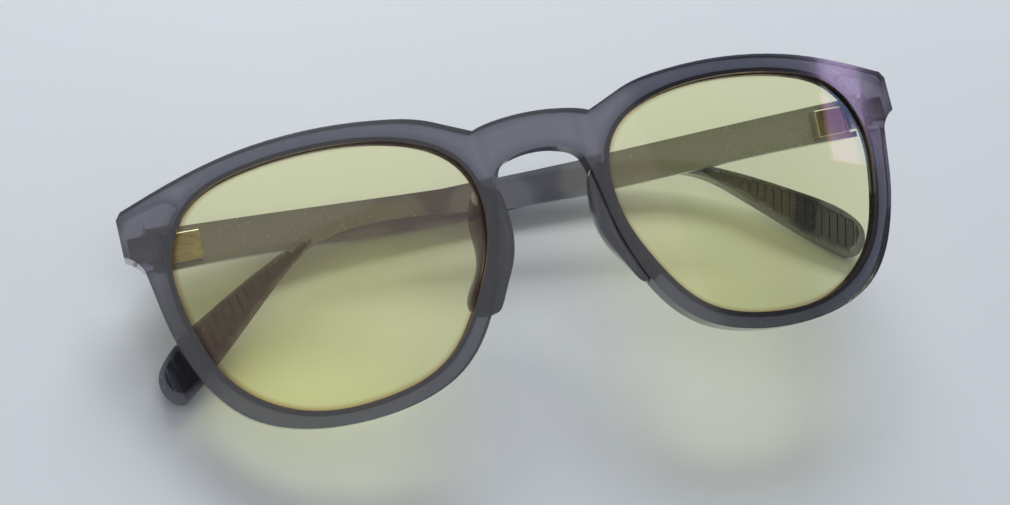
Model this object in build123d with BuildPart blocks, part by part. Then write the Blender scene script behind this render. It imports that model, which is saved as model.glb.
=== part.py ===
from build123d import *
import math
import os

# Spectacles with spring hinges, folded and lying on a table with the lenses up.
# They are drawn on the front's own axes: x runs across the front to the wearer's
# left, y runs up to the brow and z runs forward, with the crest of the bridge at
# the origin.  Each folded temple has axes of its own: u runs from its hinge pin to
# its tip, v runs up along the pin and w runs outward, away from the front.
# At the end everything is laid on the table together.  Sizes are in millimetres.

os.makedirs("parts", exist_ok=True)

# ---- driving dimensions: the front -------------------------------------------
lens_spacing = 74.6         # between the centres of the two lens openings
front_bend_radius = 330.0   # the front is bent about an upright axis
front_depth = 3.8           # front to back, at the rims and the bridge
edge_round = 0.45           # rounding of the front's outer edge
lug_depth = 6.2             # front to back at the end pieces, which carry the hinges
lug_offset = 1.5            # the lug's inner wall, outside the lens opening

# ---- driving dimensions: the lenses -------------------------------------------
lens_thickness = 1.9
lens_setback = 0.8          # the lens face behind the face of the rim
groove_depth = 0.8          # how far the lens reaches under the rim
groove_clearance = 0.05
bevel = 0.55                # chamfer on both edges of the lens

# ---- driving dimensions: the nose pads -----------------------------------------
pad_front = 0.9             # the pad starts this far behind the front's face
pad_back = 8.4              # and ends this far behind it
pad_splay = 1.9             # the pads part by this much towards the wearer

# ---- driving dimensions: the temples -------------------------------------------
temple_tilt = 5.7           # degrees, the pin leans forward at the top
left_fold_angle = -1.8      # degrees past parallel to the front, folded first
right_fold_angle = 4.8      # degrees short of parallel, folded over the left one
temple_bow = 7.4            # the temple bulges outward by this at its middle
temple_reach = 133.0        # pin to tip
root_thickness = 3.7
middle_thickness = 3.0
tip_thickness = 2.6
butt_u = -0.4               # the temple's front end, at its inner face
butt_slant = 1.3            # it leans back by this at its outer face
butt_gap = 0.2              # left between it and the lug when the temple is open
rib_count = 21
rib_pitch = 1.62
rib_width = 1.25            # of each groove
rib_lean = 12.0             # degrees from the pin's direction
rib_depth = 0.32
rib_reach = 20.0            # the cutting shape runs this far each way from the pin

# ---- driving dimensions: the hinges --------------------------------------------
pin_x = 64.7                # the pins stand this far from the middle
pin_z = -13.3
pin_to_temple = 0.9         # pin axis to the temple's inner face
pin_radius = 0.6
running_clearance = 0.03
knuckle_radius = 1.25
knuckle_height = 0.84
knuckle_gap = 0.05
knuckle_count = 5
knuckle_bottom = 2.7        # v of the lowest knuckle's lower face
screw_head_radius = 1.0
screw_head_height = 0.4
relief_clearance = 0.25     # room around the knuckles
leaf_thickness = 0.9
leaf_inner_x = 63.4
leaf_outer_x = 68.6
leaf_back_z = pin_z + 2.2   # the leaf's back face, inside the lug
neck_width = 1.5            # joins each leaf knuckle to the leaf
peg_radius = 0.6            # two pegs stand on the leaf's back
peg_length = 0.8
peg_edge = 0.7              # their centres, inside the leaf's outer edge
peg_inset = 1.0             # and inside its top and bottom

# ---- driving dimensions: the spring boxes ---------------------------------------
box_start = 2.5             # u of the box's open end
box_length = 5.4
box_height = 5.0
box_depth = 2.25
box_proud = 0.15            # the box stands this far out of the temple's inner face
box_round = 0.5
chamber_radius = 0.95
chamber_wall = 0.7          # the closed end of the chamber
rod_radius = 0.42
plug_length = 0.7
nut_radius = 0.8
nut_length = 0.5
nut_end_gap = 0.2
wire_radius = 0.1
spring_turns = 6
head_start = 1.35           # u of the slider's head, past the knuckles
head_gap = 0.3              # between the slider's head and the box
head_inner_w = 0.1          # the head's inner face keeps clear of the lug
finger_inner_w = -0.3       # and so do the fingers
head_inset = 0.4            # the head's outer face is inside the box's
flex_travel = 1.2           # how far the spring lets the temple pull away

# ---- worked out from them --------------------------------------------------------
knuckle_step = knuckle_height + knuckle_gap
knuckle_top = knuckle_bottom + knuckle_count * knuckle_step - knuckle_gap
box_centre_v = (knuckle_bottom + knuckle_top) / 2
box_outer_w = pin_to_temple - box_proud + box_depth
rod_w = pin_to_temple - box_proud + box_depth / 2
chamber_end = box_start + box_length - chamber_wall
nut_start = chamber_end - nut_end_gap - nut_length
plug_end = box_start + plug_length
butt_outer_w = pin_to_temple + 1.3 * root_thickness   # past the bowed outer face
butt_run = 1.3 * butt_slant
lens_x = lens_spacing / 2

# Half of the front's outline, from the middle of the bridge's top round to the
# middle of its underside.
brow_points = [
    (13.4, 13.9), (18.0, 15.9), (25.0, 17.4), (33.0, 18.1), (41.5, 18.0), (50.0, 17.0), (60.0, 14.5),
]
notch = (10.4, 12.6)
brow_corner = (69.0, 11.4)
lug_top = (69.9, 10.2)
lug_bottom = (69.8, 4.0)
lug_notch = (66.9, 0.9)
rim_points = [
    (66.2, -3.0), (64.8, -10.0), (62.7, -16.0), (60.1, -21.0), (55.5, -26.0), (48.5, -29.3),
    (38.5, -30.6), (29.0, -29.6), (21.0, -26.3), (15.6, -20.6), (12.0, -13.2), (9.9, -6.0), (8.9, 0.0),
]
bridge_corner = (7.6, 4.9)
bridge_under = (0.0, 7.7)
bridge_top = (0.0, 14.1)

# A lens opening about its own centre, with positive x away from the nose.
opening_points = [
    (-25.9, 0.0), (-21.6, 9.7), (-11.5, 13.9), (0.0, 14.9), (11.5, 13.8), (20.6, 10.1),
    (25.2, 1.5), (24.4, -8.5), (19.9, -19.4), (9.5, -26.7), (-3.0, -27.6), (-14.5, -23.8),
    (-22.3, -13.6),
]

# A temple's side view: upper edge from the hinge to the tip, the rounded end and
# the lower edge back again, in u and v.
temple_upper = [
    (29.0, 8.0), (58.0, 7.1), (80.0, 6.6), (92.0, 5.7), (101.0, 3.7), (113.0, -1.3), (124.0, -7.4),
]
temple_end = [
    (temple_reach - 2.2, -12.4), (temple_reach, -16.0), (temple_reach - 1.0, -19.6),
    (temple_reach - 3.6, -20.8),
]
temple_lower = [
    (125.0, -17.4), (118.0, -11.2), (111.0, -4.8), (104.0, 0.4), (97.0, 2.5), (88.0, 2.9),
    (74.0, 1.8), (52.0, 0.8), (29.0, 1.3),
]
root_top = 8.6
root_bottom = 1.2

# The sunken panel of grooves on the inner face of each ear tip, in u and v.
rib_panel_upper = [(103.5, 1.8), (113.0, -2.2), (124.0, -8.4), (130.2, -13.2)]
rib_panel_end = (131.9, -16.4)
rib_panel_lower = [(129.4, -19.0), (125.6, -16.0), (118.7, -10.0), (111.7, -3.8), (105.2, 0.4)]
rib_panel_middle = (117.5, -8.5)


# ---- shapes that several pieces share ----------------------------------------------
def bent_sheet(near, far):
    """A sheet that follows the front's bend, between two depths behind its face."""
    with BuildPart() as sheet:
        with BuildSketch(Plane.XZ):
            with Locations((0, -front_bend_radius)):
                Circle(front_bend_radius - near)
                Circle(front_bend_radius - far, mode=Mode.SUBTRACT)
            Rectangle(200, 40, mode=Mode.INTERSECT)
        extrude(amount=60, both=True)
    return sheet.part


def grown(points, growth):
    """A closed ring of points, counted clockwise, moved outward along its own normals."""
    moved = []
    for i, (x, y) in enumerate(points):
        before, after = points[i - 1], points[(i + 1) % len(points)]
        run = Vector(after[0] - before[0], after[1] - before[1]).normalized()
        moved.append((x - run.Y * growth, y + run.X * growth))
    return moved


def opening_sketch(side, growth):
    """The outline of one lens opening, grown all round."""
    ring = grown(opening_points, growth)
    with BuildSketch(Plane.XY.offset(-30)) as outline:
        with BuildLine():
            Spline(*[(side * (lens_x + x), y) for x, y in ring], periodic=True)
        make_face()
    return outline.sketch


def lens_blank(side, growth, near, far):
    """A lens, or the room for one: an opening's outline cut out of a bent sheet."""
    with BuildPart() as blank:
        add(bent_sheet(near, far))
        extrude(opening_sketch(side, growth), amount=40, mode=Mode.INTERSECT)
    return blank.part


def half_outline(side):
    """One half of the front's outline, drawn from the bridge's top to its underside."""
    flip = [(side * x, y) for x, y in brow_points + [brow_corner]]
    rim = [(side * x, y) for x, y in rim_points]
    ends = [(side * x, y) for x, y in (notch, lug_top, lug_bottom, lug_notch, bridge_corner)]
    Spline(bridge_top, (side * 6.2, 13.65), ends[0], tangents=[(side, 0), (side * 1.0, -0.42)])
    Spline(ends[0], *flip, tangents=[(side * 1.0, 0.45), (side * 1.0, -0.36)])
    Line(flip[-1], ends[1])
    Line(ends[1], ends[2])
    ThreePointArc(ends[2], (side * 68.0, 2.7), ends[3])
    Spline(ends[3], *rim, ends[4])
    Spline(ends[4], (side * 4.3, 7.1), bridge_under, tangents=[(-side * 0.5, 1), (-side, 0)])


def fold_axes(side):
    """The directions u, v and w of one folded temple."""
    lean = math.radians(temple_tilt)
    fold = math.radians(left_fold_angle if side > 0 else right_fold_angle)
    along = Vector(-side, 0, 0)
    away = Vector(0, math.sin(lean), -math.cos(lean))
    up = Vector(0, math.cos(lean), math.sin(lean))
    u = along * math.cos(fold) + away * math.sin(fold)
    w = away * math.cos(fold) - along * math.sin(fold)
    return u, up, w


def side_plane(side, w=0.0):
    """A plane of u and v, at a distance w outward from the pin.  Its normal is side * w."""
    u, _, outward = fold_axes(side)
    return Plane(Vector(side * pin_x, 0, pin_z) + outward * w, x_dir=u, z_dir=outward * side)


def top_plane(side, v=0.0):
    """A plane of u and w, at a height v along the pin.  Its normal is -side * v."""
    u, up, _ = fold_axes(side)
    return Plane(Vector(side * pin_x, 0, pin_z) + up * v, x_dir=u, z_dir=up * -side)


def end_plane(side, u=0.0):
    """A plane across the temple, at a distance u from the pin, facing the tip."""
    along, up, _ = fold_axes(side)
    return Plane(Vector(side * pin_x, 0, pin_z) + along * u, x_dir=up, z_dir=along)


def block(side, u_range, v_range, w_range):
    """A plain block in a temple's own axes."""
    with BuildPart() as solid:
        with BuildSketch(side_plane(side, w_range[0])):
            with Locations(((u_range[0] + u_range[1]) / 2, (v_range[0] + v_range[1]) / 2)):
                Rectangle(u_range[1] - u_range[0], v_range[1] - v_range[0])
        extrude(amount=side * (w_range[1] - w_range[0]))
    return solid.part


def barrel(side, radius, v_range):
    """A cylinder about the hinge pin."""
    with BuildPart() as solid:
        with BuildSketch(top_plane(side, v_range[0])):
            Circle(radius)
        extrude(amount=-side * (v_range[1] - v_range[0]))
    return solid.part


def rod(side, radius, u_range):
    """A cylinder about the spring chamber's axis."""
    with BuildPart() as solid:
        with BuildSketch(end_plane(side, u_range[0])):
            with Locations((box_centre_v, side * rod_w)):
                Circle(radius)
        extrude(amount=u_range[1] - u_range[0])
    return solid.part


def knuckle(number):
    """The v range of one knuckle, counted from the lowest."""
    bottom = knuckle_bottom + number * knuckle_step
    return bottom, bottom + knuckle_height


def bowed_sheet(side, inner_shift, outer_shift, v_range=(-40, 20)):
    """The temple's bowed plate, with its inner and outer faces shifted inward."""
    inner = pin_to_temple + inner_shift
    start, end = butt_u - 3, temple_reach + 3
    middle = (start + end) / 2
    with BuildPart() as sheet:
        with BuildSketch(top_plane(side, v_range[0])):
            with BuildLine():
                near = ThreePointArc((start, inner), (middle, inner + temple_bow), (end, inner))
                far = ThreePointArc(
                    (start, pin_to_temple + root_thickness - outer_shift),
                    (middle, pin_to_temple + temple_bow + middle_thickness - outer_shift),
                    (end, pin_to_temple + tip_thickness - outer_shift),
                )
                Line(near @ 0, far @ 0)
                Line(near @ 1, far @ 1)
            make_face()
        extrude(amount=-side * (v_range[1] - v_range[0]))
    return sheet.part


# ---- the front ------------------------------------------------------------------------
pieces = {}
sides = {"left": 1, "right": -1}    # the wearer's left is towards positive x

# Outlines of the two lugs behind the end pieces, a little larger than the end
# pieces themselves, which trim them.
lug_points = [(71.0, 9.6), (61.6, 12.1), (59.6, 10.9), (60.6, 1.9), (66.4, 1.3), (71.0, 3.0)]

with BuildPart() as front_frame:
    with BuildSketch(Plane.XY.offset(-30)) as front_outline:
        with BuildLine():
            for side in sides.values():
                half_outline(side)
        make_face()
    extrude(amount=40)
    add(bent_sheet(0, front_depth), mode=Mode.INTERSECT)
    face_and_back = front_frame.faces().filter_by(GeomType.CYLINDER)
    fillet(face_and_back.sort_by(SortBy.AREA)[-1].edges(), radius=edge_round)

lugs = {}
for name, side in sides.items():
    with BuildPart() as lug:
        with BuildSketch(Plane.XY.offset(-30)):
            Polygon(*[(side * x, y) for x, y in lug_points], align=None)
        extrude(amount=40)
        extrude(front_outline.sketch, amount=40, mode=Mode.INTERSECT)
        extrude(opening_sketch(side, lug_offset), amount=40, mode=Mode.SUBTRACT)
        add(bent_sheet(edge_round, lug_depth), mode=Mode.INTERSECT)
        # The slider's fingers swing past the lug, so a round relief is cut for them.
        relief = barrel(
            side,
            knuckle_radius + relief_clearance,
            (knuckle_bottom - relief_clearance, knuckle_top + screw_head_height + relief_clearance),
        )
        add(relief, mode=Mode.SUBTRACT)
        # The lug's back face matches the temple's slanted end when the temple is open.
        swung_end = Plane(
            Vector(side * pin_x, 0, pin_z),
            x_dir=(0, math.sin(math.radians(temple_tilt)), -math.cos(math.radians(temple_tilt))),
            z_dir=fold_axes(side)[1] * -side,
        )
        with BuildSketch(swung_end):
            with BuildLine():
                Polyline(
                    (butt_u - butt_gap, -10), (butt_u - butt_gap, pin_to_temple),
                    (butt_u - butt_gap + butt_run, butt_outer_w),
                    (butt_u - butt_gap + butt_run, 20), (10, 20), (10, -10), close=True,
                )
            make_face()
        extrude(amount=20, both=True, mode=Mode.SUBTRACT)
    lugs[name] = lug.part

hinge_leaves = {}
for name, side in sides.items():
    with BuildPart() as leaf:
        with BuildSketch(Plane.XY.offset(leaf_back_z)):
            with Locations((side * (leaf_inner_x + leaf_outer_x) / 2, box_centre_v)):
                Rectangle(leaf_outer_x - leaf_inner_x, knuckle_top - knuckle_bottom)
        extrude(amount=leaf_thickness)
        with BuildSketch(Plane.XY.offset(leaf_back_z)):
            for v in (knuckle_bottom + peg_inset, knuckle_top - peg_inset):
                with Locations((side * (leaf_outer_x - peg_edge), v)):
                    Circle(peg_radius)
        extrude(amount=-peg_length)
        for number in (1, 3):
            low, high = knuckle(number)
            add(barrel(side, knuckle_radius, (low, high)))
            neck = Plane(Vector(side * pin_x, 0, pin_z), x_dir=(1, 0, 0), z_dir=fold_axes(side)[1])
            with BuildSketch(neck.offset(low)):
                with Locations((0, -(leaf_back_z - pin_z) / 2)):
                    Rectangle(neck_width, leaf_back_z - pin_z)
            extrude(amount=high - low)
        add(barrel(side, pin_radius, (0, 20)), mode=Mode.SUBTRACT)
    hinge_leaves[name] = leaf.part

for name, side in sides.items():
    with front_frame:
        add(lugs[name])
        extrude(opening_sketch(side, 0), amount=40, mode=Mode.SUBTRACT)
        groove = lens_blank(
            side,
            groove_depth + groove_clearance,
            lens_setback - groove_clearance,
            lens_setback + lens_thickness + groove_clearance,
        )
        add(groove, mode=Mode.SUBTRACT)
        add(hinge_leaves[name], mode=Mode.SUBTRACT)
pieces["front_frame"] = front_frame.part
for name in sides:
    pieces[f"{name}_hinge_leaf"] = hinge_leaves[name]

# ---- the lenses --------------------------------------------------------------------------
for name, side in sides.items():
    with BuildPart() as lens:
        add(lens_blank(side, groove_depth, lens_setback, lens_setback + lens_thickness))
        curved = lens.faces().filter_by(GeomType.CYLINDER).sort_by(SortBy.AREA)[-2:]
        chamfer(curved.edges(), length=bevel)
    pieces[f"{name}_lens"] = lens.part

# ---- the nose pads -------------------------------------------------------------------------
# Each pad is a lobe on the nose side of the rim, drawn at its front and at its back and
# trimmed by the front that it is bonded to.
pad_points = [
    (9.6, 3.7), (8.2, 2.2), (7.4, -1.5), (7.35, -6.0), (8.5, -10.5), (10.8, -15.0), (13.4, -18.0),
    (14.4, -17.0), (12.4, -11.0), (11.0, -4.0), (10.6, 2.4),
]
pad_middle = (10.6, -7.0)
pad_sections = [    # depth, splay, height and thickness of each section
    (pad_front, 0.0, 1.0, 1.0),
    (pad_back - 1.0, pad_splay, 0.86, 0.9),
    (pad_back, pad_splay + 0.2, 0.74, 0.55),
]
for name, side in sides.items():
    with BuildPart() as nose_pad:
        for depth, shift, tall, thick in pad_sections:
            with BuildSketch(Plane.XY.offset(-depth)):
                with BuildLine():
                    Spline(
                        *[
                            (
                                side * (pad_middle[0] + (x - pad_middle[0]) * thick + shift),
                                pad_middle[1] + (y - pad_middle[1]) * tall,
                            )
                            for x, y in pad_points
                        ],
                        periodic=True,
                    )
                make_face()
        loft()
        add(front_frame.part, mode=Mode.SUBTRACT)
        add(lens_blank(side, groove_depth, lens_setback, lens_setback + lens_thickness),
            mode=Mode.SUBTRACT)
    pieces[f"{name}_nose_pad"] = nose_pad.part.solids().sort_by(SortBy.VOLUME)[-1]

# ---- the hinge screws, sliders and springs ----------------------------------------------------
for name, side in sides.items():
    with BuildPart() as screw:
        add(barrel(side, pin_radius, (knuckle_bottom, knuckle_top + knuckle_gap)))
        head_range = (knuckle_top + knuckle_gap, knuckle_top + knuckle_gap + screw_head_height)
        add(barrel(side, screw_head_radius, head_range))
        slot = block(side, (-2, 2), (head_range[1] - 0.2, head_range[1] + 1), (-0.15, 0.15))
        add(slot, mode=Mode.SUBTRACT)
    pieces[f"{name}_hinge_screw"] = screw.part

    head_end = box_start - head_gap
    head_v = (knuckle_bottom, knuckle_top)
    with BuildPart() as slider:
        add(block(side, (head_start, head_end), head_v, (head_inner_w, box_outer_w - head_inset)))
        for number in (0, 2, 4):
            low, high = knuckle(number)
            add(barrel(side, knuckle_radius, (low, high)))
            add(block(side, (0, head_start), (low, high), (finger_inner_w, knuckle_radius)))
        add(barrel(side, pin_radius + running_clearance, (0, 20)), mode=Mode.SUBTRACT)
        add(rod(side, rod_radius, (head_end, nut_start + nut_length)))
    pieces[f"{name}_hinge_slider"] = slider.part

    with BuildPart() as nut:
        add(rod(side, nut_radius, (nut_start, nut_start + nut_length)))
        add(rod(side, rod_radius, (0, 20)), mode=Mode.SUBTRACT)
    pieces[f"{name}_slider_nut"] = nut.part

    with BuildPart() as plug:
        add(rod(side, chamber_radius, (box_start, plug_end)))
        add(rod(side, rod_radius + running_clearance, (0, 20)), mode=Mode.SUBTRACT)
    pieces[f"{name}_box_plug"] = plug.part

    coil_radius = (rod_radius + chamber_radius) / 2
    coil_length = nut_start - plug_end - 2 * wire_radius
    coil_start = end_plane(side, plug_end + wire_radius)
    coil_centre = coil_start.from_local_coords((box_centre_v, side * rod_w, 0))
    with BuildPart() as spring:
        with BuildLine() as coil:
            Helix(
                pitch=coil_length / spring_turns,
                height=coil_length,
                radius=coil_radius,
                center=coil_centre,
                direction=coil_start.z_dir,
            )
        with BuildSketch(Plane(coil.line @ 0, z_dir=coil.line % 0)):
            Circle(wire_radius)
        sweep()
    pieces[f"{name}_box_spring"] = spring.part

    box_u = (box_start, box_start + box_length)
    box_v = (box_centre_v - box_height / 2, box_centre_v + box_height / 2)
    with BuildPart() as box:
        add(block(side, box_u, box_v, (box_outer_w - box_depth, box_outer_w)))
        inner_face = box.faces().sort_by(Axis(Vector(0, 0, 0), fold_axes(side)[2]))[0]
        fillet(inner_face.edges(), radius=box_round / 2)
        add(rod(side, chamber_radius, (0, chamber_end)), mode=Mode.SUBTRACT)
    pieces[f"{name}_spring_box"] = box.part

# ---- the temples ------------------------------------------------------------------------------
def rib_cutter(side):
    """The grooves across the inner face of one ear tip, as one cutting shape."""
    with BuildPart() as cutter:
        with BuildSketch(side_plane(side, -rib_reach)):
            with BuildLine():
                upper = Spline(*rib_panel_upper)
                lower = Spline(*rib_panel_lower)
                ThreePointArc(upper @ 1, rib_panel_end, lower @ 0)
                Line(lower @ 1, upper @ 0)
            make_face()
            with Locations(rib_panel_middle):
                with GridLocations(rib_pitch, 1, rib_count, 1):
                    Rectangle(rib_width, 2 * rib_reach, rotation=-rib_lean, mode=Mode.INTERSECT)
        extrude(amount=side * 2 * rib_reach)
        add(bowed_sheet(side, rib_depth, -rib_reach), mode=Mode.SUBTRACT)
    return cutter.part


room_v = (knuckle_bottom - 0.35, knuckle_top + knuckle_gap + screw_head_height + 0.2)
for name, side in sides.items():
    with BuildPart() as temple:
        with BuildSketch(side_plane(side, -30)):
            with BuildLine():
                top = Spline((butt_u - 1, root_top), *temple_upper)
                end = Spline(top @ 1, *temple_end, tangents=[top % 1, (-1.0, 0.25)])
                bottom = Spline(end @ 1, *temple_lower, (butt_u - 1, root_bottom))
                Line(bottom @ 1, top @ 0)
            make_face()
        extrude(amount=side * 60)
        add(bowed_sheet(side, 0, 0), mode=Mode.INTERSECT)
        # the slanted front end
        with BuildSketch(top_plane(side, -10)):
            with BuildLine():
                Polyline(
                    (butt_u - 8, -5), (butt_u, -5), (butt_u, pin_to_temple),
                    (butt_u + butt_run, butt_outer_w), (butt_u - 8, 20), close=True,
                )
            make_face()
        extrude(amount=-side * 30, mode=Mode.SUBTRACT)
        # room for the knuckles and the slider's head, and the seat of the spring box
        add(block(side, (-5, box_start), room_v, (-5, box_outer_w)), mode=Mode.SUBTRACT)
        add(block(side, box_u, box_v, (-5, box_outer_w)), mode=Mode.SUBTRACT)
        add(rib_cutter(side), mode=Mode.SUBTRACT)
    pieces[f"{name}_temple"] = temple.part

# ---- laid on the table --------------------------------------------------------------------------
# The folded glasses stand on both ear tips and on the bow of the right temple, which
# was folded last.  The table is the plane through those three points.
tip_reach = 110.0           # the ear tip is what lies further than this from the pin
bow_reach = (30.0, 100.0)   # and the bow is the stretch between these


def stretch(side, temple_part, near, far):
    """Points along a temple's edges, between two distances from its pin."""
    edge_points = [edge @ (i / 16) for edge in temple_part.edges() for i in range(17)]
    origin = Vector(side * pin_x, 0, pin_z)
    along = fold_axes(side)[0]
    return [point for point in edge_points if near < (point - origin).dot(along) < far]


footing = [
    stretch(1, pieces["left_temple"], tip_reach, math.inf),
    stretch(-1, pieces["right_temple"], tip_reach, math.inf),
    stretch(-1, pieces["right_temple"], *bow_reach),
]
table_up = Vector(0, 0, 1)
for _ in range(8):
    feet = [min(points, key=lambda point: point.dot(table_up)) for points in footing]
    table_up = (feet[1] - feet[0]).cross(feet[2] - feet[0]).normalized()
    if table_up.Z < 0:
        table_up = table_up * -1
across = Vector(1, 0, 0) - table_up * table_up.X
laid = Plane(feet[0], x_dir=across, z_dir=table_up).location.inverse()
extent = Compound([piece.moved(laid) for piece in pieces.values()]).bounding_box()
centring = Location((-extent.center().X, -extent.center().Y, -extent.min.Z))
resting = centring * laid

for piece_name, piece in pieces.items():
    placed = piece.moved(resting)
    placed.label = piece_name
    export_step(placed, f"parts/{piece_name}.step")
    print(piece_name, len(placed.solids()), round(placed.volume, 2))
print("size", extent.size, "up", table_up, "resting", resting.position, resting.orientation)
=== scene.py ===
"""Looks for a pair of folded, translucent spectacles lying on a pale table, lenses up.

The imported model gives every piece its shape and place.  This script dresses each piece
and sets up the table, the soft window light and the camera.
"""

import logging
from dataclasses import dataclass
from enum import Enum
from typing import Any

import bpy
from mathutils import Matrix, Vector

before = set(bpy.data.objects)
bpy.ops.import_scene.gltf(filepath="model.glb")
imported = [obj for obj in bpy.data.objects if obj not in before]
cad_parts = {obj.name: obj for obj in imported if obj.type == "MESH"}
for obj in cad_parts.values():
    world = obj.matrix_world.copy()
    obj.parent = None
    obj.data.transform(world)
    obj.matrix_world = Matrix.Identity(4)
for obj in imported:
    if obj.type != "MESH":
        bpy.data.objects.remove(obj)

LOG = logging.getLogger("spectacles")

Colour = tuple[float, float, float]
Point = tuple[float, float, float]

# The way that the face of the front looks, as the spectacles lie.
FRONT_FACING: Point = (-0.1024, -0.2803, 0.9544)

# Where things stand round the spectacles, in metres, and the camera's two directions.
VIOLET_PANE: Point = (0.458, 0.010, 0.479)
CAMERA_STAND: Point = (-0.0893, -0.0982, 0.2317)
CAMERA_AIM: Point = (0.3280, 0.3933, -0.8589)
CAMERA_UP: Point = (0.1464, 0.8770, 0.4575)

PLASTIC_IOR = 1.50
DUST: Colour = (0.60, 0.60, 0.62)


class Side(Enum):
    """The wearer's two sides, with the sign of each along X."""

    LEFT = 1
    RIGHT = -1

    @property
    def word(self) -> str:
        """The side's name as it stands in the node names."""
        return self.name.lower()


# ---- small helpers for shader trees ---------------------------------------------------


def rgba(colour: Colour) -> tuple[float, float, float, float]:
    """A colour with full alpha."""
    return (*colour, 1.0)


class Tree:
    """A thin wrapper round a shader tree that adds and links nodes."""

    def __init__(self, tree: Any) -> None:
        """Keep the tree and its collections.

        Args:
            tree: A node tree of a material or of a node group.
        """
        self.tree = tree
        self.nodes = tree.nodes
        self.links = tree.links

    def add(self, kind: str, inputs: dict[Any, Any] | None = None, **settings: Any) -> Any:
        """Add one node.

        Args:
            kind: The node's Blender type name.
            inputs: Values or output sockets for the node's inputs, by name or index.
            **settings: Properties to set on the node.

        Returns:
            The new node.
        """
        node = self.nodes.new(kind)
        for name, value in settings.items():
            setattr(node, name, value)
        for key, value in (inputs or {}).items():
            self.feed(node.inputs[key], value)
        return node

    def feed(self, socket: Any, value: Any) -> None:
        """Link an output to a socket, or set the socket's value.

        Args:
            socket: The input to fill.
            value: An output socket, a number or a tuple.
        """
        if isinstance(value, bpy.types.NodeSocket):
            self.links.new(value, socket)
        else:
            socket.default_value = value

    def math(self, operation: str, first: Any, second: Any = 0.5, clamp: bool = False) -> Any:
        """A Math node's output.

        Args:
            operation: The Math operation.
            first: First operand.
            second: Second operand.
            clamp: Whether the result is kept in 0 to 1.

        Returns:
            The output socket.
        """
        node = self.add("ShaderNodeMath", {0: first, 1: second}, operation=operation, use_clamp=clamp)
        return node.outputs[0]

    def ramp(self, value: Any, low: Any, high: Any, out_low: float = 0.0, out_high: float = 1.0) -> Any:
        """A clamped Map Range node's output.

        Args:
            value: What is mapped.
            low: Input value that gives out_low.
            high: Input value that gives out_high.
            out_low: Output at low.
            out_high: Output at high.

        Returns:
            The output socket.
        """
        node = self.add(
            "ShaderNodeMapRange",
            {"Value": value, "From Min": low, "From Max": high, "To Min": out_low, "To Max": out_high},
            clamp=True,
        )
        return node.outputs["Result"]

    def mix(self, factor: Any, first: Any, second: Any, blend: str = "MIX") -> Any:
        """A colour Mix node's output.

        Args:
            factor: How much of the second colour shows.
            first: First colour.
            second: Second colour.
            blend: The blend type.

        Returns:
            The output socket.
        """
        node = self.add("ShaderNodeMix", data_type="RGBA", blend_type=blend)
        self.feed(node.inputs["Factor"], factor)
        self.feed(node.inputs[6], rgba(first) if isinstance(first, tuple) else first)
        self.feed(node.inputs[7], rgba(second) if isinstance(second, tuple) else second)
        return node.outputs[2]

    def bump(self, shader: Any, height: Any, strength: float, distance: float) -> None:
        """Give a shader a bumped normal.

        Args:
            shader: The shader.
            height: The height that the bump follows.
            strength: The bump's strength.
            distance: The bump's depth, in metres.
        """
        node = self.add("ShaderNodeBump", {"Height": height, "Strength": strength, "Distance": distance})
        self.feed(shader.inputs["Normal"], node.outputs[0])


def new_group(name: str, inputs: dict[str, tuple[str, Any]], outputs: dict[str, str]) -> Tree:
    """Start a shader node group with named sockets.

    Args:
        name: The group's name.
        inputs: Socket kind and default value by input name.
        outputs: Socket kind by output name.

    Returns:
        The group's tree, whose first nodes are its input and its output.
    """
    group = bpy.data.node_groups.new(name, "ShaderNodeTree")
    for label, (kind, default) in inputs.items():
        socket = group.interface.new_socket(label, in_out="INPUT", socket_type=kind)
        socket.default_value = default
    for label, kind in outputs.items():
        group.interface.new_socket(label, in_out="OUTPUT", socket_type=kind)
    tree = Tree(group)
    tree.add("NodeGroupInput")
    tree.add("NodeGroupOutput")
    return tree


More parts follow.
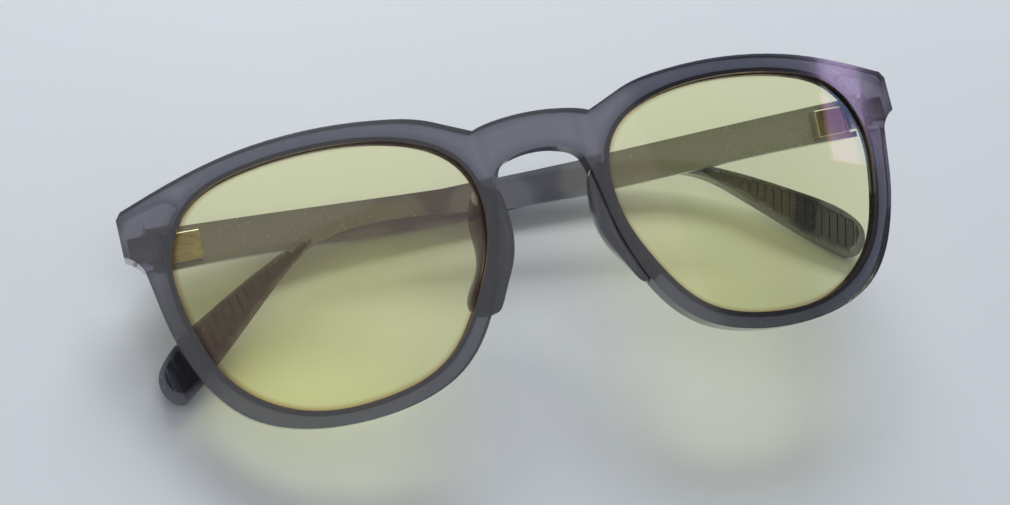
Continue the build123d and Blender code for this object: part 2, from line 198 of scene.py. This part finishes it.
class Effects:
    """The shader groups that several finishes share, each built once."""

    def __init__(self) -> None:
        """Build every group."""
        self.grain = self.build_grain()
        self.edges = self.build_edges()
        self.dust = self.build_dust()
        self.brushing = self.build_brushing()
        self.walls = self.build_walls()

    @staticmethod
    def build_grain() -> Any:
        """Moulded plastic's fine frosting and slow flow marks.

        Returns:
            The group, with outputs Fine, Flow and Height.
        """
        tree = new_group(
            "moulding_grain",
            {"Scale": ("NodeSocketFloat", 2600.0), "Flow Scale": ("NodeSocketFloat", 90.0)},
            {"Fine": "NodeSocketFloat", "Flow": "NodeSocketFloat", "Height": "NodeSocketFloat"},
        )
        given, out = tree.nodes[0], tree.nodes[1]
        place = tree.add("ShaderNodeTexCoord").outputs["Object"]
        fine = tree.add(
            "ShaderNodeTexNoise",
            {"Vector": place, "Scale": given.outputs["Scale"], "Detail": 3.0, "Roughness": 0.6},
        )
        flow = tree.add(
            "ShaderNodeTexNoise",
            {"Vector": place, "Scale": given.outputs["Flow Scale"], "Detail": 2.0, "Distortion": 0.6},
        )
        pits = tree.add("ShaderNodeTexVoronoi", {"Vector": place, "Scale": given.outputs["Scale"]})
        tree.feed(out.inputs["Fine"], tree.ramp(fine.outputs["Fac"], 0.35, 0.68))
        tree.feed(out.inputs["Flow"], tree.ramp(flow.outputs["Fac"], 0.35, 0.65))
        height = tree.math("MULTIPLY", fine.outputs["Fac"], pits.outputs["Distance"])
        tree.feed(out.inputs["Height"], height)
        return tree.tree

    @staticmethod
    def build_edges() -> Any:
        """A mask of rounded edges and of hollows, from the mesh's pointiness.

        Returns:
            The group, with outputs Edge and Hollow.
        """
        tree = new_group(
            "edge_mask",
            {"Softness": ("NodeSocketFloat", 0.06), "Breakup": ("NodeSocketFloat", 900.0)},
            {"Edge": "NodeSocketFloat", "Hollow": "NodeSocketFloat"},
        )
        given, out = tree.nodes[0], tree.nodes[1]
        flat, slack = 0.5, 0.005
        point = tree.add("ShaderNodeNewGeometry").outputs["Pointiness"]
        place = tree.add("ShaderNodeTexCoord").outputs["Object"]
        noise = tree.add(
            "ShaderNodeTexNoise", {"Vector": place, "Scale": given.outputs["Breakup"], "Detail": 2.0}
        )
        broken = tree.math("MULTIPLY", tree.math("SUBTRACT", noise.outputs["Fac"], 0.5), 0.03)
        raised = tree.math("ADD", point, broken)
        top = tree.math("ADD", flat, given.outputs["Softness"])
        low = tree.math("SUBTRACT", flat, given.outputs["Softness"])
        tree.feed(out.inputs["Edge"], tree.ramp(raised, flat + slack, top))
        tree.feed(out.inputs["Hollow"], tree.ramp(raised, flat - slack, low))
        return tree.tree

    @staticmethod
    def build_dust() -> Any:
        """Sparse specks of dust and faint finger smears.

        Returns:
            The group, with outputs Specks and Smear.
        """
        tree = new_group(
            "handling_dust",
            {"Amount": ("NodeSocketFloat", 0.5), "Size": ("NodeSocketFloat", 420.0)},
            {"Specks": "NodeSocketFloat", "Smear": "NodeSocketFloat"},
        )
        given, out = tree.nodes[0], tree.nodes[1]
        place = tree.add("ShaderNodeTexCoord").outputs["Object"]
        cells = tree.add("ShaderNodeTexVoronoi", {"Vector": place, "Scale": given.outputs["Size"]})
        spot = tree.ramp(cells.outputs["Distance"], 0.10, 0.03)
        chance = tree.add("ShaderNodeTexNoise", {"Vector": place, "Scale": 160.0, "Detail": 1.0})
        rare = tree.ramp(chance.outputs["Fac"], 0.60, 0.66)
        smear = tree.add(
            "ShaderNodeTexNoise", {"Vector": place, "Scale": 38.0, "Detail": 4.0, "Distortion": 1.4}
        )
        specks = tree.math("MULTIPLY", spot, rare)
        tree.feed(out.inputs["Specks"], tree.math("MULTIPLY", specks, given.outputs["Amount"]))
        haze = tree.ramp(smear.outputs["Fac"], 0.45, 0.75)
        tree.feed(out.inputs["Smear"], tree.math("MULTIPLY", haze, given.outputs["Amount"]))
        return tree.tree

    @staticmethod
    def build_brushing() -> Any:
        """Fine parallel brushing on metal, with a few deeper scratches.

        Returns:
            The group, with outputs Lines and Height.
        """
        tree = new_group(
            "metal_brushing",
            {"Along": ("NodeSocketVector", (9000.0, 400.0, 9000.0))},
            {"Lines": "NodeSocketFloat", "Height": "NodeSocketFloat"},
        )
        given, out = tree.nodes[0], tree.nodes[1]
        place = tree.add("ShaderNodeTexCoord").outputs["Object"]
        stretched = tree.add(
            "ShaderNodeVectorMath", {0: place, 1: given.outputs["Along"]}, operation="MULTIPLY"
        )
        along = stretched.outputs[0]
        lines = tree.add("ShaderNodeTexNoise", {"Vector": along, "Scale": 1.0, "Detail": 3.0})
        coarse = tree.add("ShaderNodeTexNoise", {"Vector": along, "Scale": 0.21, "Detail": 1.0})
        scratches = tree.ramp(coarse.outputs["Fac"], 0.62, 0.70, 0.0, -0.5)
        height = tree.math("ADD", lines.outputs["Fac"], scratches)
        tree.feed(out.inputs["Lines"], tree.ramp(lines.outputs["Fac"], 0.3, 0.7))
        tree.feed(out.inputs["Height"], height)
        return tree.tree

    @staticmethod
    def build_walls() -> Any:
        """A mask of the side walls that run front to back, where shade is painted.

        Returns:
            The group, with the output Wall.
        """
        tree = new_group(
            "side_walls",
            {
                "Facing": ("NodeSocketVector", FRONT_FACING),
                "Start": ("NodeSocketFloat", 0.93),
                "Full": ("NodeSocketFloat", 0.60),
            },
            {"Wall": "NodeSocketFloat"},
        )
        given, out = tree.nodes[0], tree.nodes[1]
        normal = tree.add("ShaderNodeTexCoord").outputs["Normal"]
        dot = tree.add(
            "ShaderNodeVectorMath", {0: normal, 1: given.outputs["Facing"]}, operation="DOT_PRODUCT"
        )
        upright = tree.math("ABSOLUTE", dot.outputs["Value"])
        wall = tree.ramp(upright, given.outputs["Start"], given.outputs["Full"])
        tree.feed(out.inputs["Wall"], wall)
        return tree.tree


def start_material(name: str) -> tuple[Any, Tree, Any, Any]:
    """Start a material with one Principled shader.

    Args:
        name: The material's name.

    Returns:
        The material, its tree, the shader and the output node.
    """
    material = bpy.data.materials.new(name)
    material.use_nodes = True
    tree = Tree(material.node_tree)
    tree.nodes.clear()
    output = tree.add("ShaderNodeOutputMaterial")
    shader = tree.add("ShaderNodeBsdfPrincipled")
    return material, tree, shader, output


def let_lamps_through(tree: Tree, shader: Any, output: Any, tint: Colour, amount: float) -> None:
    """Give a clear shader a coloured, partly clear shadow.

    Args:
        tree: The material's tree.
        shader: The shader that is seen.
        output: The material's output node.
        tint: The colour that light takes on its way through.
        amount: The share of lamp light that gets through.
    """
    path = tree.add("ShaderNodeLightPath")
    clear = tree.add("ShaderNodeBsdfTransparent", {"Color": rgba(tint)})
    share = tree.math("MULTIPLY", path.outputs["Is Shadow Ray"], amount)
    both = tree.add("ShaderNodeMixShader", {0: share, 1: shader.outputs[0], 2: clear.outputs[0]})
    tree.feed(output.inputs["Surface"], both.outputs[0])


def near_neighbours(tree: Tree, reach: float, inside: bool) -> Any:
    """A mask of the surface that lies close to another wall.

    Args:
        tree: The material's tree.
        reach: How far the other wall may be, in metres.
        inside: Whether the walls of the same solid are looked for from within.

    Returns:
        The mask, 0 in the open and 1 right beside a wall.
    """
    look = tree.add(
        "ShaderNodeAmbientOcclusion", {"Distance": reach}, samples=6, inside=inside, only_local=inside
    )
    return tree.ramp(look.outputs["AO"], 0.95, 0.62)


@dataclass(frozen=True)
class SmokyPlastic:
    """Translucent smoky plastic, polished over a faintly frosted grain."""

    name: str
    body: Colour
    deep: Colour
    shadow: Colour
    clarity: float = 0.75
    roughness: float = 0.16
    lamp_share: float = 0.45
    grain_scale: float = 2600.0
    # The next colour is painted shade, laid in hollows, on side walls and in a band along the edges.
    wall: Colour = (0.012, 0.014, 0.022)
    wall_depth: float = 0.9
    band_width: float = 0.0022
    band_depth: float = 0.95
    # The edge tone is painted on rounded edges: dark by default as painted shade, light on the temples as a
    # painted highlight.
    edge_tone: Colour = (0.10, 0.11, 0.15)
    edge_share: float = 0.5

    def build(self, effects: Effects) -> Any:
        """Make the material.

        Args:
            effects: The shared shader groups.

        Returns:
            The material.
        """
        material, tree, shader, output = start_material(self.name)
        grain = tree.add("ShaderNodeGroup", node_tree=effects.grain)
        grain.inputs["Scale"].default_value = self.grain_scale
        edges = tree.add("ShaderNodeGroup", node_tree=effects.edges)
        dust = tree.add("ShaderNodeGroup", node_tree=effects.dust)
        speckled = tree.mix(tree.math("MULTIPLY", grain.outputs["Fine"], 0.22), self.body, self.deep)
        flowed = tree.mix(tree.math("MULTIPLY", grain.outputs["Flow"], 0.25), speckled, self.deep)
        walls = tree.add("ShaderNodeGroup", node_tree=effects.walls)
        # Painted shade in concave hollows and creases.
        hollow_shaded = tree.mix(tree.math("MULTIPLY", edges.outputs["Hollow"], 0.8), flowed, self.wall)
        # Painted shade on the side walls that run front to back.
        wall_shaded = tree.mix(tree.math("MULTIPLY", walls.outputs["Wall"], self.wall_depth), hollow_shaded, self.wall)
        # A band of painted shade along the edges, close to other walls of the same solid.
        band_shade = tree.math("MULTIPLY", near_neighbours(tree, self.band_width, True), self.band_depth)
        band_shaded = tree.mix(band_shade, wall_shaded, self.wall)
        # Rounded edges take the painted edge tone: painted shade on the front and pads, painted highlights
        # on the temples.
        painted_edge_mask = tree.math("MULTIPLY", edges.outputs["Edge"], self.edge_share)
        edge_painted = tree.mix(painted_edge_mask, band_shaded, self.edge_tone)
        dusted = tree.mix(tree.math("MULTIPLY", dust.outputs["Specks"], 0.6), edge_painted, DUST)
        tree.feed(shader.inputs["Base Color"], dusted)
        rough = tree.math("ADD", self.roughness, tree.math("MULTIPLY", grain.outputs["Fine"], 0.10))
        smeared = tree.math("ADD", rough, tree.math("MULTIPLY", dust.outputs["Smear"], 0.10))
        tree.feed(shader.inputs["Roughness"], smeared)
        tree.bump(shader, grain.outputs["Height"], 0.12, 0.00005)
        shader.inputs["IOR"].default_value = PLASTIC_IOR
        shader.inputs["Transmission Weight"].default_value = self.clarity
        shader.inputs["Coat Weight"].default_value = 0.6
        shader.inputs["Coat Roughness"].default_value = 0.06
        let_lamps_through(tree, shader, output, self.shadow, self.lamp_share)
        return material


@dataclass(frozen=True)
class CoatedLens:
    """A clear lens with a faint warm tint and a violet anti-reflective coating."""

    name: str
    tint: Colour = (0.945, 0.94, 0.60)
    rim: Colour = (0.42, 0.22, 0.07)
    sheen: Colour = (0.62, 0.45, 1.0)
    shadow: Colour = (0.90, 0.90, 0.60)

    def build(self, effects: Effects) -> Any:
        """Make the material.

        Args:
            effects: The shared shader groups.

        Returns:
            The material.
        """
        material, tree, shader, output = start_material(self.name)
        dust = tree.add("ShaderNodeGroup", node_tree=effects.dust)
        dust.inputs["Amount"].default_value = 0.35
        tinted = tree.mix(dust.outputs["Specks"], self.tint, (0.85, 0.85, 0.85))
        ambered = tree.mix(near_neighbours(tree, 0.0011, False), tinted, self.rim)
        tree.feed(shader.inputs["Base Color"], ambered)
        tree.feed(shader.inputs["Roughness"], tree.math("MULTIPLY", dust.outputs["Smear"], 0.06))
        shader.inputs["IOR"].default_value = PLASTIC_IOR
        shader.inputs["Transmission Weight"].default_value = 1.0
        shader.inputs["Specular Tint"].default_value = rgba(self.sheen)
        shader.inputs["Thin Film Thickness"].default_value = 420.0
        shader.inputs["Thin Film IOR"].default_value = 1.38
        let_lamps_through(tree, shader, output, self.shadow, 0.92)
        return material


@dataclass(frozen=True)
class FineMetal:
    """Brushed or plated metal, lighter along its rounded edges."""

    name: str
    face: Colour
    edge: Colour
    roughness: float = 0.32
    strength: float = 0.25
    along: Point = (9000.0, 400.0, 9000.0)

    def build(self, effects: Effects) -> Any:
        """Make the material.

        Args:
            effects: The shared shader groups.

        Returns:
            The material.
        """
        material, tree, shader, output = start_material(self.name)
        brush = tree.add("ShaderNodeGroup", node_tree=effects.brushing)
        brush.inputs["Along"].default_value = self.along
        edges = tree.add("ShaderNodeGroup", node_tree=effects.edges)
        edges.inputs["Softness"].default_value = 0.10
        lined = tree.mix(tree.math("MULTIPLY", brush.outputs["Lines"], 0.35), self.face, self.edge)
        # Lighter colour along rounded edges.
        edge_lightened = tree.mix(edges.outputs["Edge"], lined, self.edge)
        tree.feed(shader.inputs["Base Color"], edge_lightened)
        rough = tree.math("ADD", self.roughness, tree.math("MULTIPLY", brush.outputs["Lines"], 0.12))
        tree.feed(shader.inputs["Roughness"], rough)
        tree.bump(shader, brush.outputs["Height"], self.strength, 0.00003)
        shader.inputs["Metallic"].default_value = 1.0
        tree.feed(output.inputs["Surface"], shader.outputs[0])
        return material


@dataclass(frozen=True)
class TableTop:
    """A matt white table with a barely visible tooth."""

    name: str
    white: Colour = (0.80, 0.83, 0.86)
    shade: Colour = (0.74, 0.77, 0.80)

    def build(self, effects: Effects) -> Any:
        """Make the material.

        Args:
            effects: The shared shader groups.

        Returns:
            The material.
        """
        material, tree, shader, output = start_material(self.name)
        grain = tree.add("ShaderNodeGroup", node_tree=effects.grain)
        grain.inputs["Scale"].default_value = 1500.0
        grain.inputs["Flow Scale"].default_value = 14.0
        tone = tree.mix(tree.math("MULTIPLY", grain.outputs["Flow"], 0.25), self.white, self.shade)
        fine = tree.mix(tree.math("MULTIPLY", grain.outputs["Fine"], 0.12), tone, self.shade)
        tree.feed(shader.inputs["Base Color"], fine)
        rough = tree.math("ADD", 0.5, tree.math("MULTIPLY", grain.outputs["Fine"], 0.1))
        tree.feed(shader.inputs["Roughness"], rough)
        tree.bump(shader, grain.outputs["Height"], 0.15, 0.0001)
        tree.feed(output.inputs["Surface"], shader.outputs[0])
        return material


def dress(node: str, material: Any) -> None:
    """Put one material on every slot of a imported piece.

    Args:
        node: The piece's node name.
        material: The material.
    """
    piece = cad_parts[node]
    slots = piece.material_slots
    if not slots:
        piece.data.materials.append(material)
    for slot in slots:
        slot.material = material
    LOG.info("dressed %s in %s", node, material.name)


@dataclass
class Front:
    """The front: its frame, nose pads, lenses and the hinge leaves set into it."""

    effects: Effects
    rim: SmokyPlastic = SmokyPlastic(
        "smoky_front",
        body=(0.30, 0.275, 0.345),
        deep=(0.13, 0.118, 0.155),
        shadow=(0.27, 0.26, 0.31),
        roughness=0.06,
        clarity=0.92,
    )
    pads: SmokyPlastic = SmokyPlastic(
        "smoky_pads",
        body=(0.20, 0.18, 0.25),
        deep=(0.07, 0.06, 0.10),
        shadow=(0.28, 0.26, 0.33),
        roughness=0.10,
        wall_depth=0.35,
    )
    lens: CoatedLens = CoatedLens("coated_lens")
    leaf: FineMetal = FineMetal(
        "dull_leaf", face=(0.36, 0.32, 0.30), edge=(0.60, 0.56, 0.52), roughness=0.38
    )

    def build(self) -> None:
        """Dress every piece of the front."""
        dress("front_frame", self.rim.build(self.effects))
        pad = self.pads.build(self.effects)
        lens = self.lens.build(self.effects)
        leaf = self.leaf.build(self.effects)
        for side in Side:
            dress(f"{side.word}_nose_pad", pad)
            dress(f"{side.word}_lens", lens)
            dress(f"{side.word}_hinge_leaf", leaf)


@dataclass
class Temples:
    """The two temples with the spring boxes let into them."""

    effects: Effects
    plastic: SmokyPlastic = SmokyPlastic(
        "smoky_temples",
        body=(0.105, 0.095, 0.15),
        deep=(0.035, 0.033, 0.07),
        shadow=(0.16, 0.15, 0.22),
        clarity=0.5,
        # Light painted highlights along the temples' edges and ridges.
        edge_tone=(0.42, 0.42, 0.50),
        edge_share=0.6,
    )
    box: FineMetal = FineMetal(
        "satin_box",
        face=(0.20, 0.155, 0.13),
        edge=(0.82, 0.77, 0.66),
        roughness=0.34,
        along=(500.0, 9000.0, 9000.0),
    )

    def build(self) -> None:
        """Dress both temples and both boxes."""
        plastic = self.plastic.build(self.effects)
        box = self.box.build(self.effects)
        for side in Side:
            dress(f"{side.word}_temple", plastic)
            dress(f"{side.word}_spring_box", box)


@dataclass
class Hinges:
    """The small metal pieces of both hinges."""

    effects: Effects
    slider: FineMetal = FineMetal(
        "cast_slider", face=(0.52, 0.47, 0.42), edge=(0.88, 0.83, 0.74), roughness=0.28
    )
    turned: FineMetal = FineMetal(
        "turned_steel",
        face=(0.50, 0.50, 0.50),
        edge=(0.80, 0.79, 0.77),
        roughness=0.24,
        along=(7000.0, 7000.0, 600.0),
    )
    wire: FineMetal = FineMetal(
        "drawn_wire", face=(0.45, 0.45, 0.47), edge=(0.70, 0.70, 0.72), roughness=0.22
    )
    plug: FineMetal = FineMetal(
        "turned_plug", face=(0.55, 0.43, 0.26), edge=(0.84, 0.72, 0.48), roughness=0.30
    )

    def build(self) -> None:
        """Dress the sliders, screws, nuts, plugs and springs."""
        finishes = {
            "hinge_slider": self.slider,
            "hinge_screw": self.turned,
            "slider_nut": self.turned,
            "box_spring": self.wire,
            "box_plug": self.plug,
        }
        made: dict[str, Any] = {}
        for node, finish in finishes.items():
            if finish.name not in made:
                made[finish.name] = finish.build(self.effects)
            for side in Side:
                dress(f"{side.word}_{node}", made[finish.name])


@dataclass
class Studio:
    """The table, the window-like light and the camera."""

    effects: Effects
    table_half: float = 1.6
    focal_length_mm: float = 52.0
    stand: Point = (0.0, 0.0, 0.0)
    aim: Point = (0.0, 0.0, -1.0)
    up: Point = (0.0, 1.0, 0.0)

    def build_table(self) -> None:
        """Lay the table under the spectacles."""
        half = self.table_half
        steps = 8
        line = [half * (2 * i / steps - 1) for i in range(steps + 1)]
        points = [(x, y, 0.0) for y in line for x in line]
        row = steps + 1
        faces = [
            (j * row + i, j * row + i + 1, (j + 1) * row + i + 1, (j + 1) * row + i)
            for j in range(steps)
            for i in range(steps)
        ]
        mesh = bpy.data.meshes.new("table_top")
        mesh.from_pydata(points, [], faces)
        table = bpy.data.objects.new("table_top", mesh)
        bpy.context.scene.collection.objects.link(table)
        mesh.materials.append(TableTop("matt_table").build(self.effects))
        LOG.info("table laid")

    def lamp(self, name: str, place: Point, size: tuple[float, float], power: float, colour: Colour) -> None:
        """Add one soft rectangular lamp that faces the spectacles.

        Args:
            name: The lamp's name.
            place: Where it stands.
            size: Its width and height.
            power: Its power in watts.
            colour: Its colour.
        """
        data = bpy.data.lights.new(name, "AREA")
        data.shape = "RECTANGLE"
        data.size, data.size_y = size
        data.energy = power
        data.color = colour
        lamp = bpy.data.objects.new(name, data)
        lamp.location = place
        direction = Vector((0, 0, 0.01)) - Vector(place)
        lamp.rotation_euler = direction.to_track_quat("-Z", "Y").to_euler()
        bpy.context.scene.collection.objects.link(lamp)

    def build_light(self) -> None:
        """Light the table from a window beyond it, with soft fill all round."""
        self.lamp("window", (0.15, 0.85, 0.62), (0.75, 0.5), 8.5, (0.95, 0.98, 1.0))
        self.lamp("ceiling", (-0.2, -0.1, 1.4), (1.4, 1.4), 3.6, (0.99, 0.99, 1.0))
        self.lamp("reflected_pane", VIOLET_PANE, (0.09, 0.05), 0.07, (0.78, 0.58, 1.0))
        world = bpy.data.worlds.new("room")
        world.use_nodes = True
        sky = world.node_tree.nodes["Background"]
        sky.inputs["Color"].default_value = (0.86, 0.91, 1.0, 1.0)
        sky.inputs["Strength"].default_value = 0.24
        bpy.context.scene.world = world
        bpy.context.scene.view_settings.view_transform = "Standard"
        LOG.info("lights set")

    def build_camera(self) -> None:
        """Stand the camera where it looks down on the spectacles from the wearer's right."""
        data = bpy.data.cameras.new("camera")
        data.sensor_width = 36.0
        data.lens = self.focal_length_mm
        data.clip_start = 0.01
        data.dof.use_dof = False
        camera = bpy.data.objects.new("camera", data)
        ahead = Vector(self.aim).normalized()
        right = ahead.cross(Vector(self.up)).normalized()
        upward = right.cross(ahead)
        turn = Matrix((right, upward, -ahead)).transposed()
        camera.matrix_world = Matrix.Translation(Vector(self.stand)) @ turn.to_4x4()
        bpy.context.scene.collection.objects.link(camera)
        bpy.context.scene.camera = camera
        LOG.info("camera set")


def main() -> None:
    """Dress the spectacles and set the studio."""
    logging.basicConfig(level=logging.INFO, format="%(name)s: %(message)s")
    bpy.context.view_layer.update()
    effects = Effects()
    Front(effects).build()
    Temples(effects).build()
    Hinges(effects).build()
    studio = Studio(effects, stand=CAMERA_STAND, aim=CAMERA_AIM, up=CAMERA_UP)
    studio.build_table()
    studio.build_light()
    studio.build_camera()


if __name__ == "__main__":
    main()
